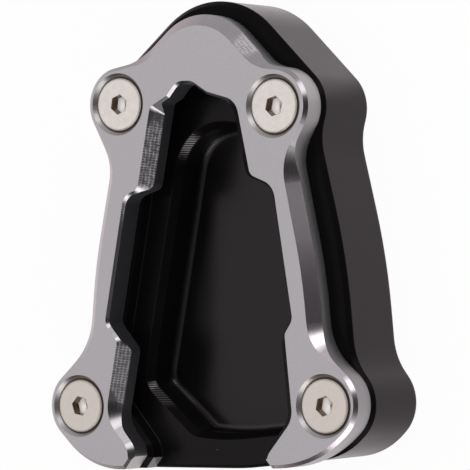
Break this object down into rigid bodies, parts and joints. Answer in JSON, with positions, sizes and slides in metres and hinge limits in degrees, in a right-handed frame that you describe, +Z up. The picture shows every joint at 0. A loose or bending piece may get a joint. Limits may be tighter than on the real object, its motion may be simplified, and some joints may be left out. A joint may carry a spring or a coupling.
{
  "type": "kickstand foot enlarger",
  "caption": "Black base with a pocket for a side stand's foot, and a grey slotted clamp plate screwed down on it.",
  "frame": {"origin": "centre of the overall box, on the tread face that meets the ground", "axes": "+Z up from the tread to the clamp plate, +Y from the open heel to the toe, +X to the right"},
  "size_m": [0.085, 0.1056, 0.0245],
  "materials": {
    "base": "black anodised, satin",
    "clamp_plate": "bead blasted and grey anodised, with milled bevels",
    "screws": "satin stainless"
  },
  "bodies": {
    "root": {"base": "base", "clamp_plate": "clamp_plate", "screw_toe_left": "screws", "screw_toe_right": "screws", "screw_heel_left": "screws", "screw_heel_right": "screws"}
  },
  "joints": []
}
